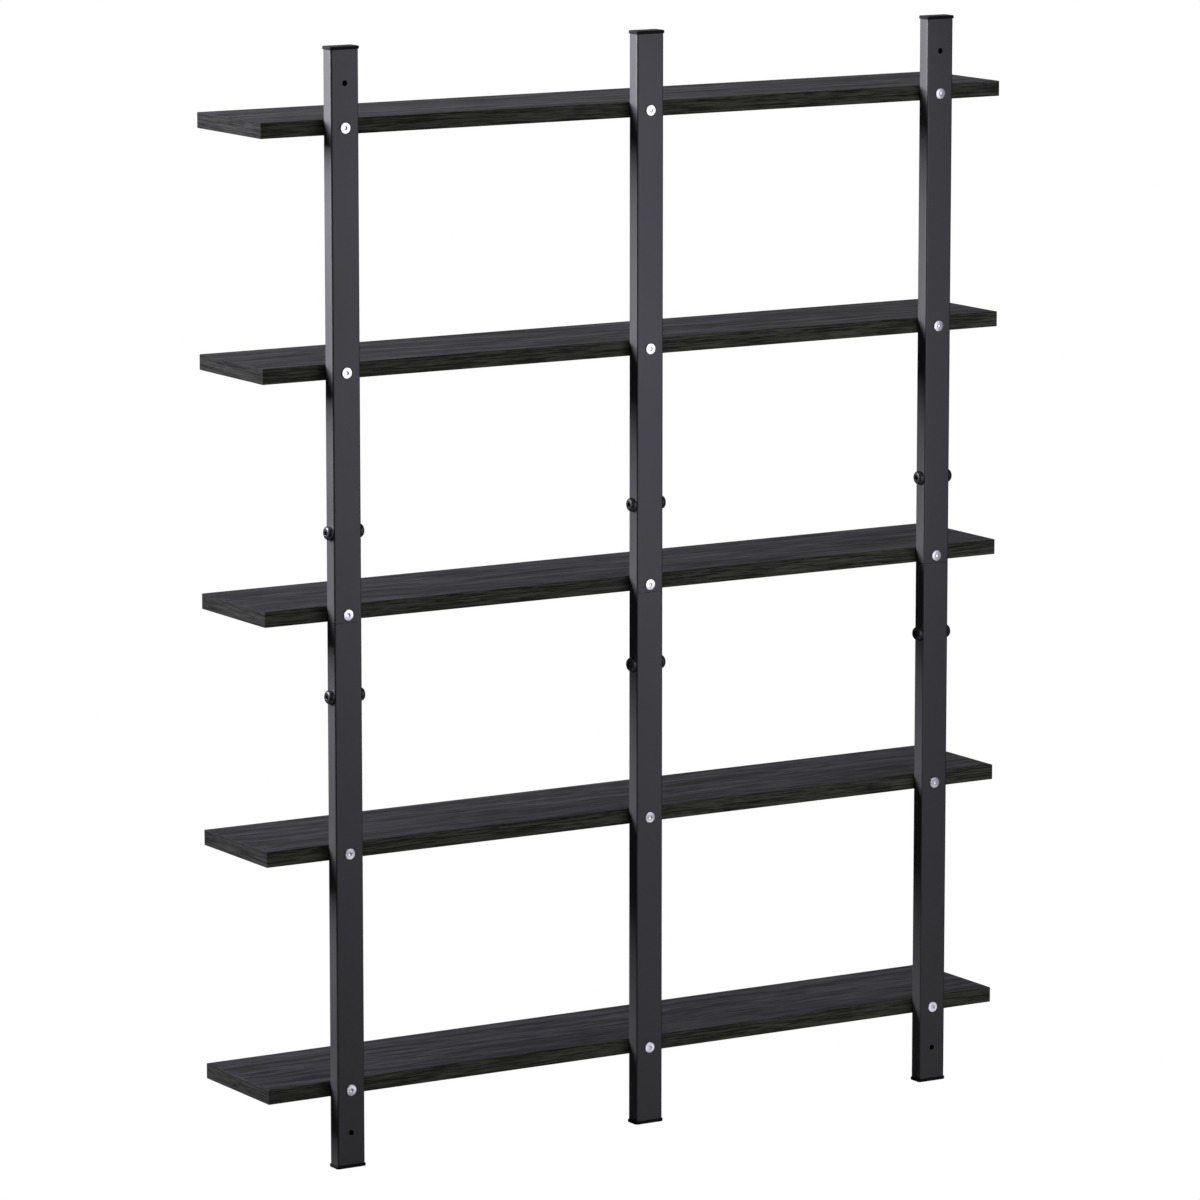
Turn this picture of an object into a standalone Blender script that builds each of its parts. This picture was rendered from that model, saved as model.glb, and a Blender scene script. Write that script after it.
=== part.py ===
"""Wall shelf: boards screwed edge-on to three slim steel posts, each post bolted together from two tubes.

The posts' wall faces lie in the plane Y = 0 and the boards point into the room, towards +Y. The origin is
on that plane, on the axis of the centre post, level with the middle of the board stack. Sizes are in metres.
"""

import math

import bmesh
import bpy
from mathutils import Matrix

# Boards
BOARD_COUNT = 5
BOARD_LENGTH = 0.830
BOARD_DEPTH = 0.125
BOARD_THICKNESS = 0.015
BOARD_PITCH = 0.2295
BOARD_EDGE_EASE = 0.0004

# Posts: rectangular steel tube, in an upper and a lower length
POST_INSET = 0.081
POST_WIDTH = 0.030
POST_DEPTH = 0.015
POST_WALL = 0.0012
POST_INNER_CORNER = 0.0003
POST_OVERRUN = 0.0655
WALL_HOLE_DIAMETER = 0.005
WALL_HOLE_FROM_END = 0.0312

# End caps: a flange on the tube's end and a ribbed hollow plug inside it
CAP_FLANGE_THICKNESS = 0.003
CAP_FLANGE_OVERHANG = 0.001
CAP_FLANGE_EASE = 0.0006
CAP_PLUG_LENGTH = 0.018
CAP_PLUG_WALL = 0.0018
CAP_RIB_COUNT = 3
CAP_RIB_RISE = 0.0008
CAP_RIB_THICKNESS = 0.0014
CAP_PLUG_CORNER = 0.0008

# Joiners: a smaller tube inside each post, with threaded bosses for the side bolts
JOINER_WALL = 0.0015
JOINER_CORNER = 0.0005
JOINER_END_MARGIN = 0.022
BOSS_LENGTH = 0.005
BOSS_WALL = 0.001

# Side bolts: button head with a hex socket
BOLT_HEIGHT = 0.0783
BOLT_SHANK_DIAMETER = 0.006
BOLT_HEAD_DIAMETER = 0.0138
BOLT_HEAD_FLAT_DIAMETER = 0.0084
BOLT_HEAD_RISE = 0.0044
BOLT_HEAD_RIM = 0.001
BOLT_SOCKET_FLATS = 0.004
BOLT_SOCKET_DEPTH = 0.0024
BOLT_END_REACH = 0.001

# Shelf screws: low head with a hex socket, through the post and into the board's edge
SCREW_SHANK_DIAMETER = 0.0064
SCREW_HEAD_DIAMETER = 0.0105
SCREW_HEAD_RISE = 0.0010
SCREW_HEAD_EASE = 0.0004
SCREW_SOCKET_FLATS = 0.004
SCREW_SOCKET_DEPTH = 0.0026
SCREW_GRIP = 0.038
SCREW_POINT_LENGTH = 0.005

# Fits and facets
CONTACT_GAP = 0.0003
CUT_MARGIN = 0.002
WELD_DISTANCE = 0.00001
CORNER_STEPS = 2
ROUND_STEPS = 16
HOLE_STEPS = 12
DOME_STEPS = 3
HEX_SIDES = 6
EASED_FROM_ANGLE = math.radians(60.0)
SHARP_FROM_ANGLE = math.radians(50.0)

# Places worked out from the driving dimensions
# The outer posts stand a set way in from the boards' ends, measured to the middle of the post.
POST_SPACING = BOARD_LENGTH / 2 - POST_INSET
POST_PLACES = {"left": -POST_SPACING, "centre": 0.0, "right": POST_SPACING}
WALL_FIXED_POSTS = ("left", "right")
POST_MIDDLE_Y = POST_DEPTH / 2
STACK_HEIGHT = (BOARD_COUNT - 1) * BOARD_PITCH
BOARD_HEIGHTS = [STACK_HEIGHT / 2 - row * BOARD_PITCH for row in range(BOARD_COUNT)]
JOINED_HEIGHT = BOARD_HEIGHTS[BOARD_COUNT // 2]
SEAM_HEIGHT = JOINED_HEIGHT - BOARD_THICKNESS / 2
POST_TOP = BOARD_HEIGHTS[0] + BOARD_THICKNESS / 2 + POST_OVERRUN
POST_BOTTOM = BOARD_HEIGHTS[-1] - BOARD_THICKNESS / 2 - POST_OVERRUN
BOARD_WALL_EDGE_Y = POST_DEPTH + CONTACT_GAP
POST_INSIDE_WIDTH = POST_WIDTH - 2 * POST_WALL
POST_INSIDE_DEPTH = POST_DEPTH - 2 * POST_WALL
JOINER_WIDTH = POST_INSIDE_WIDTH - 2 * CONTACT_GAP
JOINER_DEPTH = POST_INSIDE_DEPTH - 2 * CONTACT_GAP
JOINER_LENGTH = 2 * (BOLT_HEIGHT + JOINER_END_MARGIN)
# A drilled hole is a polygon, so its radius is taken to its corners and its flats clear the shank.
HOLE_FLATNESS = math.cos(math.pi / HOLE_STEPS)
SCREW_HOLE_RADIUS = (SCREW_SHANK_DIAMETER / 2 + CONTACT_GAP) / HOLE_FLATNESS
BOLT_HOLE_RADIUS = (BOLT_SHANK_DIAMETER / 2 + CONTACT_GAP) / HOLE_FLATNESS
WALL_HOLE_RADIUS = WALL_HOLE_DIAMETER / 2 / HOLE_FLATNESS

# Turns that point a fastener's head, modelled towards +Z, along another axis
HEAD_TO_WALL = (math.pi / 2, 0.0, 0.0)
HEAD_TO_LEFT = (0.0, -math.pi / 2, 0.0)
HEAD_TO_RIGHT = (0.0, math.pi / 2, 0.0)
UPSIDE_DOWN = (math.pi, 0.0, 0.0)
BOLT_SIDES = {"left_side": (-1, HEAD_TO_LEFT), "right_side": (1, HEAD_TO_RIGHT)}


def clear_scene():
    for item in list(bpy.data.objects):
        bpy.data.objects.remove(item, do_unlink=True)


def new_collection(name):
    made = bpy.data.collections.new(name)
    bpy.context.scene.collection.children.link(made)
    return made


clear_scene()
SHELF = new_collection("wall_shelf")
CUTTERS = new_collection("wall_shelf_cutters")
ORIGIN = bpy.data.objects.new("wall_shelf_origin", None)
SHELF.objects.link(ORIGIN)


def finish(name, colour, roughness, metallic):
    made = bpy.data.materials.new(name)
    made.use_nodes = True
    shader = made.node_tree.nodes["Principled BSDF"]
    shader.inputs["Base Color"].default_value = (*colour, 1.0)
    shader.inputs["Roughness"].default_value = roughness
    shader.inputs["Metallic"].default_value = metallic
    return made


POWDER_COAT = finish("powder_coat", (0.030, 0.030, 0.034), 0.45, 0.0)
DARK_OAK = finish("dark_oak", (0.013, 0.013, 0.013), 0.55, 0.0)
CAP_PLASTIC = finish("cap_plastic", (0.012, 0.012, 0.013), 0.50, 0.0)
ZINC = finish("zinc", (0.80, 0.80, 0.83), 0.30, 1.0)
BLACK_STEEL = finish("black_steel", (0.020, 0.020, 0.022), 0.40, 0.6)
BARE_STEEL = finish("bare_steel", (0.45, 0.45, 0.46), 0.40, 1.0)


def mesh_from(shape, name):
    """Turn a bmesh into a mesh with its faces pointing out and its round stretches shaded smooth."""
    bmesh.ops.recalc_face_normals(shape, faces=shape.faces)
    mesh = bpy.data.meshes.new(name)
    shape.to_mesh(mesh)
    shape.free()
    mesh.shade_smooth()
    mesh.set_sharp_from_angle(angle=SHARP_FROM_ANGLE)
    return mesh


def evaluated_mesh(item, name):
    """The item as Blender evaluates it, modifiers and all, as one welded mesh."""
    bpy.context.view_layer.update()
    graph = bpy.context.evaluated_depsgraph_get()
    drawn = bpy.data.meshes.new_from_object(item.evaluated_get(graph))
    shape = bmesh.new()
    shape.from_mesh(drawn)
    bmesh.ops.remove_doubles(shape, verts=shape.verts, dist=WELD_DISTANCE)
    bpy.data.meshes.remove(drawn)
    return mesh_from(shape, name)


def add_piece(name, mesh, material, location, rotation=(0.0, 0.0, 0.0)):
    mesh.materials.clear()
    mesh.materials.append(material)
    piece = bpy.data.objects.new(name, mesh)
    piece.location = location
    piece.rotation_euler = rotation
    piece.parent = ORIGIN
    SHELF.objects.link(piece)
    return piece


def add_cutter(name, mesh, location=(0.0, 0.0, 0.0), rotation=(0.0, 0.0, 0.0)):
    cutter = bpy.data.objects.new(name, mesh)
    cutter.location = location
    cutter.rotation_euler = rotation
    cutter.hide_render = True
    cutter.display_type = "WIRE"
    CUTTERS.objects.link(cutter)
    return cutter


def combine(piece, other, operation):
    step = piece.modifiers.new(f"{operation.lower()} {other.name}", "BOOLEAN")
    step.operation = operation
    step.object = other
    step.solver = "EXACT"


def round_rod(name, radius, length, steps=HOLE_STEPS):
    """A closed cylinder on Z, centred on its own origin."""
    shape = bmesh.new()
    bmesh.ops.create_cone(
        shape, cap_ends=True, segments=steps, radius1=radius, radius2=radius, depth=length
    )
    return mesh_from(shape, name)


def rounded_rectangle(width, depth, corner):
    """The outline's points, anticlockwise from the right-hand side, with an arc at each corner."""
    points = []
    for quarter, (side_x, side_y) in enumerate(((1, 1), (-1, 1), (-1, -1), (1, -1))):
        centre_x = side_x * (width / 2 - corner)
        centre_y = side_y * (depth / 2 - corner)
        for step in range(CORNER_STEPS + 1):
            angle = (quarter + step / CORNER_STEPS) * math.pi / 2
            points.append((centre_x + corner * math.cos(angle), centre_y + corner * math.sin(angle)))
    return points


def prism(name, height, *outlines):
    """A filled outline raised along Z and centred on it; a second outline inside the first is a hollow."""
    drawing = bpy.data.curves.new(name, "CURVE")
    drawing.dimensions = "2D"
    drawing.fill_mode = "BOTH"
    drawing.extrude = height / 2
    for outline in outlines:
        spline = drawing.splines.new("POLY")
        spline.points.add(len(outline) - 1)
        for point, (x, y) in zip(spline.points, outline):
            point.co = (x, y, 0.0, 1.0)
        spline.use_cyclic_u = True
    sketch = bpy.data.objects.new(name, drawing)
    SHELF.objects.link(sketch)
    mesh = evaluated_mesh(sketch, name)
    bpy.data.objects.remove(sketch)
    return mesh


def turned_fastener(name, profile, socket_flats, socket_depth):
    """A profile of (radius, height) turned about Z, with a hex socket sunk into its top."""
    outline = bmesh.new()
    corners = [outline.verts.new((radius, 0.0, height)) for radius, height in profile]
    for upper, lower in zip(corners, corners[1:]):
        outline.edges.new((upper, lower))
    line = bpy.data.meshes.new(name)
    outline.to_mesh(line)
    outline.free()
    blank = bpy.data.objects.new(name, line)
    SHELF.objects.link(blank)
    turning = blank.modifiers.new("turning", "SCREW")
    turning.steps = ROUND_STEPS
    turning.render_steps = ROUND_STEPS
    turning.use_merge_vertices = True
    turning.merge_threshold = WELD_DISTANCE
    top = profile[0][1]
    socket_radius = socket_flats / 2 / math.cos(math.pi / HEX_SIDES)
    socket_mesh = round_rod(f"{name}_socket", socket_radius, 2 * socket_depth, HEX_SIDES)
    socket = add_cutter(f"{name}_socket", socket_mesh, (0.0, 0.0, top))
    combine(blank, socket, "DIFFERENCE")
    mesh = evaluated_mesh(blank, name)
    bpy.data.objects.remove(blank)
    bpy.data.objects.remove(socket)
    return mesh


def shelf_screw_mesh():
    shank = SCREW_SHANK_DIAMETER / 2
    head = SCREW_HEAD_DIAMETER / 2
    point = -(CONTACT_GAP + BOARD_WALL_EDGE_Y + SCREW_GRIP)
    profile = [
        (0.0, SCREW_HEAD_RISE),
        (head - SCREW_HEAD_EASE, SCREW_HEAD_RISE),
        (head, SCREW_HEAD_RISE - SCREW_HEAD_EASE),
        (head, 0.0),
        (shank, 0.0),
        (shank, point + SCREW_POINT_LENGTH),
        (0.0, point),
    ]
    return turned_fastener("shelf_screw", profile, SCREW_SOCKET_FLATS, SCREW_SOCKET_DEPTH)


def joiner_bolt_mesh():
    shank = BOLT_SHANK_DIAMETER / 2
    head = BOLT_HEAD_DIAMETER / 2
    flat = BOLT_HEAD_FLAT_DIAMETER / 2
    end = -(CONTACT_GAP + POST_WALL + CONTACT_GAP + JOINER_WALL + BOSS_LENGTH + BOLT_END_REACH)
    profile = [(0.0, BOLT_HEAD_RISE)]
    for step in range(DOME_STEPS + 1):
        angle = step / DOME_STEPS * math.pi / 2
        radius = flat + (head - flat) * math.sin(angle)
        height = BOLT_HEAD_RIM + (BOLT_HEAD_RISE - BOLT_HEAD_RIM) * math.cos(angle)
        profile.append((radius, height))
    profile += [
        (head, 0.0),
        (shank, 0.0),
        (shank, end),
        (0.0, end),
    ]
    return turned_fastener("joiner_bolt", profile, BOLT_SOCKET_FLATS, BOLT_SOCKET_DEPTH)


def board_mesh():
    """One board about its own centre, with a pilot hole in its wall edge for each post's screw."""
    shape = bmesh.new()
    size = Matrix.Diagonal((BOARD_LENGTH, BOARD_DEPTH, BOARD_THICKNESS, 1.0))
    bmesh.ops.create_cube(shape, size=1.0, matrix=size)
    blank = bpy.data.objects.new("shelf_board", mesh_from(shape, "shelf_board"))
    SHELF.objects.link(blank)
    easing = blank.modifiers.new("eased edges", "BEVEL")
    easing.width = BOARD_EDGE_EASE
    easing.segments = 1
    easing.angle_limit = EASED_FROM_ANGLE
    pilot_depth = SCREW_GRIP + CONTACT_GAP
    drills = []
    for post, x in POST_PLACES.items():
        drill_mesh = round_rod(f"pilot_{post}", SCREW_HOLE_RADIUS, 2 * pilot_depth)
        drill = add_cutter(f"pilot_{post}", drill_mesh, (x, -BOARD_DEPTH / 2, 0.0), HEAD_TO_WALL)
        combine(blank, drill, "DIFFERENCE")
        drills.append(drill)
    mesh = evaluated_mesh(blank, "shelf_board")
    for spent in (blank, *drills):
        bpy.data.objects.remove(spent)
    return mesh


def cap_mesh():
    """An end cap, flange up, with its origin where the tube's end comes against the flange."""
    rib_width = POST_INSIDE_WIDTH - 2 * CONTACT_GAP
    rib_depth = POST_INSIDE_DEPTH - 2 * CONTACT_GAP
    plug_width = rib_width - 2 * CAP_RIB_RISE
    plug_depth = rib_depth - 2 * CAP_RIB_RISE
    pocket_width = plug_width - 2 * CAP_PLUG_WALL
    pocket_depth = plug_depth - 2 * CAP_PLUG_WALL
    flange_corner = POST_INNER_CORNER + POST_WALL + CAP_FLANGE_OVERHANG
    flange_outline = rounded_rectangle(
        POST_WIDTH + 2 * CAP_FLANGE_OVERHANG, POST_DEPTH + 2 * CAP_FLANGE_OVERHANG, flange_corner
    )
    cap = bpy.data.objects.new("end_cap", prism("end_cap", CAP_FLANGE_THICKNESS, flange_outline))
    SHELF.objects.link(cap)
    cap.location.z = CONTACT_GAP + CAP_FLANGE_THICKNESS / 2
    easing = cap.modifiers.new("eased flange", "BEVEL")
    easing.width = CAP_FLANGE_EASE
    easing.segments = 1
    easing.angle_limit = EASED_FROM_ANGLE

    spent = [cap]
    root = cap.location.z
    plug_end = -CAP_PLUG_LENGTH
    plug_outline = rounded_rectangle(plug_width, plug_depth, CAP_PLUG_CORNER)
    plug = add_cutter("cap_plug", prism("cap_plug", root - plug_end, plug_outline))
    plug.location.z = (root + plug_end) / 2
    combine(cap, plug, "UNION")
    spent.append(plug)
    rib_outline = rounded_rectangle(rib_width, rib_depth, CAP_PLUG_CORNER)
    rib_step = CAP_PLUG_LENGTH / (CAP_RIB_COUNT + 1)
    for row in range(CAP_RIB_COUNT):
        rib = add_cutter(f"cap_rib_{row}", prism("cap_rib", CAP_RIB_THICKNESS, rib_outline))
        rib.location.z = -(row + 1) * rib_step
        combine(cap, rib, "UNION")
        spent.append(rib)
    pocket_outline = rounded_rectangle(pocket_width, pocket_depth, CAP_PLUG_CORNER)
    pocket_height = CAP_PLUG_LENGTH + CUT_MARGIN
    pocket = add_cutter("cap_pocket", prism("cap_pocket", pocket_height, pocket_outline))
    pocket.location.z = -pocket_height / 2
    combine(cap, pocket, "DIFFERENCE")
    spent.append(pocket)

    mesh = evaluated_mesh(cap, "end_cap")
    mesh.transform(Matrix.Translation(cap.location))
    for item in spent:
        bpy.data.objects.remove(item)
    return mesh


def joiner_mesh():
    """The inner tube about its own centre: bosses inside its narrow walls, drilled for bolts and screw."""
    outer = rounded_rectangle(JOINER_WIDTH, JOINER_DEPTH, JOINER_CORNER)
    hollow_width = JOINER_WIDTH - 2 * JOINER_WALL
    hollow_depth = JOINER_DEPTH - 2 * JOINER_WALL
    inner = rounded_rectangle(hollow_width, hollow_depth, JOINER_CORNER)
    joiner = bpy.data.objects.new("post_joiner", prism("post_joiner", JOINER_LENGTH, outer, inner))
    SHELF.objects.link(joiner)
    boss_rod = JOINER_WALL / 2 + BOSS_LENGTH
    boss_reach = JOINER_WIDTH / 2 - JOINER_WALL / 2 - boss_rod / 2
    drill_length = 2 * (JOINER_WALL + BOSS_LENGTH + CUT_MARGIN)
    bosses = []
    drills = []
    for height in (-BOLT_HEIGHT, BOLT_HEIGHT):
        for sign, turn in BOLT_SIDES.values():
            boss_mesh = round_rod("boss", BOLT_HOLE_RADIUS + BOSS_WALL, boss_rod)
            bosses.append(add_cutter("boss", boss_mesh, (sign * boss_reach, 0.0, height), turn))
            drill_mesh = round_rod("boss_drill", BOLT_HOLE_RADIUS, drill_length)
            mouth = (sign * JOINER_WIDTH / 2, 0.0, height)
            drills.append(add_cutter("boss_drill", drill_mesh, mouth, turn))
    screw_drill = round_rod("joiner_screw_drill", SCREW_HOLE_RADIUS, JOINER_DEPTH + 2 * CUT_MARGIN)
    drills.append(add_cutter("joiner_screw_drill", screw_drill, rotation=HEAD_TO_WALL))
    for boss in bosses:
        combine(joiner, boss, "UNION")
    for drill in drills:
        combine(joiner, drill, "DIFFERENCE")
    mesh = evaluated_mesh(joiner, "post_joiner")
    for item in (joiner, *bosses, *drills):
        bpy.data.objects.remove(item)
    return mesh


def add_post(name, post, low, high, wall_hole_height, bolt_height):
    """One length of post tube, drilled for its wall screw, its shelf screws and its pair of side bolts."""
    outer_corner = POST_INNER_CORNER + POST_WALL
    outer = rounded_rectangle(POST_WIDTH, POST_DEPTH, outer_corner)
    inner = rounded_rectangle(POST_INSIDE_WIDTH, POST_INSIDE_DEPTH, POST_INNER_CORNER)
    x = POST_PLACES[post]
    tube_mesh = prism(name, high - low, outer, inner)
    tube = add_piece(name, tube_mesh, POWDER_COAT, (x, POST_MIDDLE_Y, (low + high) / 2))

    def drill(hole_name, radius, length, height, turn):
        rod = round_rod(f"{name}_{hole_name}", radius, length + 2 * CUT_MARGIN)
        combine(tube, add_cutter(rod.name, rod, (x, POST_MIDDLE_Y, height), turn), "DIFFERENCE")

    for row, height in enumerate(BOARD_HEIGHTS, start=1):
        if low < height < high:
            drill(f"screw_hole_{row}", SCREW_HOLE_RADIUS, POST_DEPTH, height, HEAD_TO_WALL)
    if post in WALL_FIXED_POSTS:
        drill("wall_hole", WALL_HOLE_RADIUS, POST_DEPTH, wall_hole_height, HEAD_TO_WALL)
    drill("bolt_holes", BOLT_HOLE_RADIUS, POST_WIDTH, bolt_height, HEAD_TO_RIGHT)


def add_posts():
    for post in POST_PLACES:
        add_post(
            f"upper_post_{post}",
            post,
            SEAM_HEIGHT + CONTACT_GAP / 2,
            POST_TOP,
            POST_TOP - WALL_HOLE_FROM_END,
            JOINED_HEIGHT + BOLT_HEIGHT,
        )
        add_post(
            f"lower_post_{post}",
            post,
            POST_BOTTOM,
            SEAM_HEIGHT - CONTACT_GAP / 2,
            POST_BOTTOM + WALL_HOLE_FROM_END,
            JOINED_HEIGHT - BOLT_HEIGHT,
        )


def add_boards():
    mesh = board_mesh()
    for row, height in enumerate(BOARD_HEIGHTS, start=1):
        add_piece(f"shelf_board_{row}", mesh, DARK_OAK, (0.0, BOARD_WALL_EDGE_Y + BOARD_DEPTH / 2, height))


def add_caps():
    mesh = cap_mesh()
    for post, x in POST_PLACES.items():
        add_piece(f"top_cap_{post}", mesh, CAP_PLASTIC, (x, POST_MIDDLE_Y, POST_TOP))
        add_piece(f"bottom_cap_{post}", mesh, CAP_PLASTIC, (x, POST_MIDDLE_Y, POST_BOTTOM), UPSIDE_DOWN)


def add_joiners():
    mesh = joiner_mesh()
    for post, x in POST_PLACES.items():
        add_piece(f"post_joiner_{post}", mesh, BARE_STEEL, (x, POST_MIDDLE_Y, JOINED_HEIGHT))


def add_shelf_screws():
    mesh = shelf_screw_mesh()
    for post, x in POST_PLACES.items():
        for row, height in enumerate(BOARD_HEIGHTS, start=1):
            add_piece(f"shelf_screw_{post}_{row}", mesh, ZINC, (x, -CONTACT_GAP, height), HEAD_TO_WALL)


def add_joiner_bolts():
    mesh = joiner_bolt_mesh()
    seat = POST_WIDTH / 2 + CONTACT_GAP
    for post, x in POST_PLACES.items():
        for level, height in (("upper", BOLT_HEIGHT), ("lower", -BOLT_HEIGHT)):
            for side, (sign, turn) in BOLT_SIDES.items():
                place = (x + sign * seat, POST_MIDDLE_Y, JOINED_HEIGHT + height)
                add_piece(f"joiner_bolt_{post}_{level}_{side}", mesh, BLACK_STEEL, place, turn)


add_posts()
add_boards()
add_caps()
add_joiners()
add_shelf_screws()
add_joiner_bolts()
bpy.context.view_layer.update()
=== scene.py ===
# %% [markdown]
# # A wall shelf in black steel and dark oak
#
# The shelf hangs on a wall. Five thin boards are screwed edge-on to three slim steel posts, and each
# post is bolted together from an upper and a lower length of rectangular tube. We look at it from the
# side that goes to the wall, where the bright screw heads sit.
#
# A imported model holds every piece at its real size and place, but only in coarse flat facets. This
# lesson keeps those places and models each piece again with rounded edges, sockets, threads and real
# finishes.

import math

import bmesh
import bpy
from mathutils import Matrix, Vector


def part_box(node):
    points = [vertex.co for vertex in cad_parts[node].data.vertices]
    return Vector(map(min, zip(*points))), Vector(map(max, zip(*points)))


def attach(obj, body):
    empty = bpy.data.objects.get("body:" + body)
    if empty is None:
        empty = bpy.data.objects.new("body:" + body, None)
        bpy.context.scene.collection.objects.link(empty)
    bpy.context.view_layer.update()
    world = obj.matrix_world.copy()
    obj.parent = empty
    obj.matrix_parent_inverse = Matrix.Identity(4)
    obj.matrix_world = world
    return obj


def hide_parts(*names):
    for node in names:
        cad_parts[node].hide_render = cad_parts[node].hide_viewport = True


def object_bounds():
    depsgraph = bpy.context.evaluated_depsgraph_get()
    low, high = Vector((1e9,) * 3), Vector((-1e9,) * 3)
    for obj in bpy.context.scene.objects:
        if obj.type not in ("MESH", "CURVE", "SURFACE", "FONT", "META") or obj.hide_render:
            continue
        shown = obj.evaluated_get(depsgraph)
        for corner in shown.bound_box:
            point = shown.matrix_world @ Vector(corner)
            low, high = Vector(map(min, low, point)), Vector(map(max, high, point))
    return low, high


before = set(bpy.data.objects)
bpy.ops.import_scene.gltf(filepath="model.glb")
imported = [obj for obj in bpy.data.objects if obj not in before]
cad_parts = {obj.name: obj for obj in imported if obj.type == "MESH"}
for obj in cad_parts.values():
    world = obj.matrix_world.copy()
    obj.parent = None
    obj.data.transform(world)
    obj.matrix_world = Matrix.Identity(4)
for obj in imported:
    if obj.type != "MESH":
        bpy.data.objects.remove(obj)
CAD_LOW, CAD_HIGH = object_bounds()
BODY = "root"
print(f"loaded {len(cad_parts)} nodes, box {tuple(round(side, 4) for side in CAD_HIGH - CAD_LOW)} m")

# %% [markdown]
# ## Working as by hand
#
# Every piece below starts as a primitive and is shaped in edit mode, the way one would click it
# together. An operator acts on whatever is selected, so these helpers first clear the selection and
# then pick faces or edges by where they lie or which way they point. A face whose normal has nine
# tenths of its length along an axis counts as facing that way, and one with less than a tenth as lying
# sideways to it.

# %% Helpers that select and edit
WELD = 0.000001
MM = 0.001
FACING = 0.9
SIDEWAYS = 0.1


def hold(piece):
    """Make one piece the only selected and active one."""
    bpy.ops.object.select_all(action="DESELECT")
    piece.select_set(True)
    bpy.context.view_layer.objects.active = piece


def open_up(piece):
    """Enter edit mode on one piece."""
    hold(piece)
    bpy.ops.object.mode_set(mode="EDIT")


def close_up():
    """Point every face outwards and leave edit mode."""
    bpy.ops.mesh.select_all(action="SELECT")
    bpy.ops.mesh.normals_make_consistent(inside=False)
    bpy.ops.object.mode_set(mode="OBJECT")


def pick(piece, kind, test):
    """In edit mode, select only the verts, edges or faces that pass a test."""
    bpy.ops.mesh.select_mode(type=kind)
    bpy.ops.mesh.select_all(action="DESELECT")
    shape = bmesh.from_edit_mesh(piece.data)
    items = {"VERT": shape.verts, "EDGE": shape.edges, "FACE": shape.faces}[kind]
    chosen = [item for item in items if test(item)]
    for item in chosen:
        item.select_set(True)
    bmesh.update_edit_mesh(piece.data)
    return len(chosen)


def add_block(name, low, high):
    """A box between two corners, with its size and place in its mesh."""
    bpy.ops.object.select_all(action="DESELECT")
    bpy.ops.mesh.primitive_cube_add(size=1.0, location=(low + high) / 2)
    block = bpy.context.active_object
    block.name = name
    block.scale = high - low
    bpy.ops.object.transform_apply(location=True, rotation=True, scale=True)
    return block


print("helpers ready: hold, open_up, close_up, pick, add_block")

# %% [markdown]
# ## Turned shapes and holes
#
# Screws, bolts and drills are round, so they are made as on a lathe: a point is extruded along half the
# outline and the line is spun about Z. A hole in powder-coated steel has a soft lip, because paint
# gathers on its edge. Bevelling a hole after it is cut is fragile, so the drill itself flares where it
# meets the faces, and cutting with it leaves the lip.

# %% Helpers that turn and drill
LIP_STEPS = 3
HOLE_SIDES = 32
CUT_CLEAR = 2 * MM


def turn(name, profile, sides):
    """Extrude a point along a profile of (radius, height) and spin it about Z into a closed body."""
    bpy.ops.object.select_all(action="DESELECT")
    bpy.ops.mesh.primitive_plane_add(size=MM)
    body = bpy.context.active_object
    body.name = name
    bpy.ops.object.mode_set(mode="EDIT")
    bpy.ops.mesh.select_mode(type="VERT")
    bpy.ops.mesh.select_all(action="SELECT")
    bpy.ops.mesh.merge(type="CENTER")
    bpy.ops.transform.translate(value=(profile[0][0], 0.0, profile[0][1]))
    for (radius, height), (next_radius, next_height) in zip(profile, profile[1:]):
        step = (next_radius - radius, 0.0, next_height - height)
        bpy.ops.mesh.extrude_region_move(TRANSFORM_OT_translate={"value": step})
    bpy.ops.mesh.select_all(action="SELECT")
    bpy.ops.mesh.spin(steps=sides, angle=math.tau, center=(0.0, 0.0, 0.0), axis=(0.0, 0.0, 1.0))
    bpy.ops.mesh.select_all(action="SELECT")
    bpy.ops.mesh.remove_doubles(threshold=WELD)
    close_up()
    return body


def pointing(direction):
    """The turn that points a piece from +Z along a direction."""
    return Vector(direction).to_track_quat("Z", "Y")


def lay_along(piece, direction, place):
    """Point a piece along a direction, move it to its place and keep both in its mesh."""
    piece.rotation_euler = pointing(direction).to_euler()
    piece.location = place
    hold(piece)
    bpy.ops.object.transform_apply(location=True, rotation=True, scale=True)


def combine(piece, other, operation):
    """Cut another shape out of a piece or weld it on, and throw the other one away."""
    hold(piece)
    step = piece.modifiers.new("combine", "BOOLEAN")
    step.operation = operation
    step.solver = "EXACT"
    step.object = other
    bpy.ops.object.modifier_apply(modifier=step.name)
    bpy.data.objects.remove(other, do_unlink=True)


def drill(piece, place, direction, radius, depth, lip):
    """Drill right through a pair of walls round a place, with a rounded lip on both outer faces."""
    flare = []
    for step in range(LIP_STEPS + 1):
        angle = step / LIP_STEPS * math.pi / 2
        flare.append((radius + lip * (1 - math.sin(angle)), depth / 2 - lip * (1 - math.cos(angle))))
    mouth = (radius + lip, depth / 2 + CUT_CLEAR)
    upper = [(0.0, mouth[1]), mouth] + flare
    lower = [(ring, -height) for ring, height in reversed(upper)]
    cutter = turn("drill", upper + lower, HOLE_SIDES)
    lay_along(cutter, direction, place)
    combine(piece, cutter, "DIFFERENCE")


print("helpers ready: turn, pointing, lay_along, combine, drill")

# %% [markdown]
# ## Shading and seating a piece
#
# A rounded edge looks right only if the broad faces beside it stay flat. Smoothing by angle blends the
# rounding, and weighted normals then let the big faces win. A finished piece rides on the shelf's one
# body, hides the coarse node that it stands for, and takes the finishes it is given.

# %% Helpers that finish a piece
SMOOTH_BELOW = math.radians(40.0)


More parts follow.
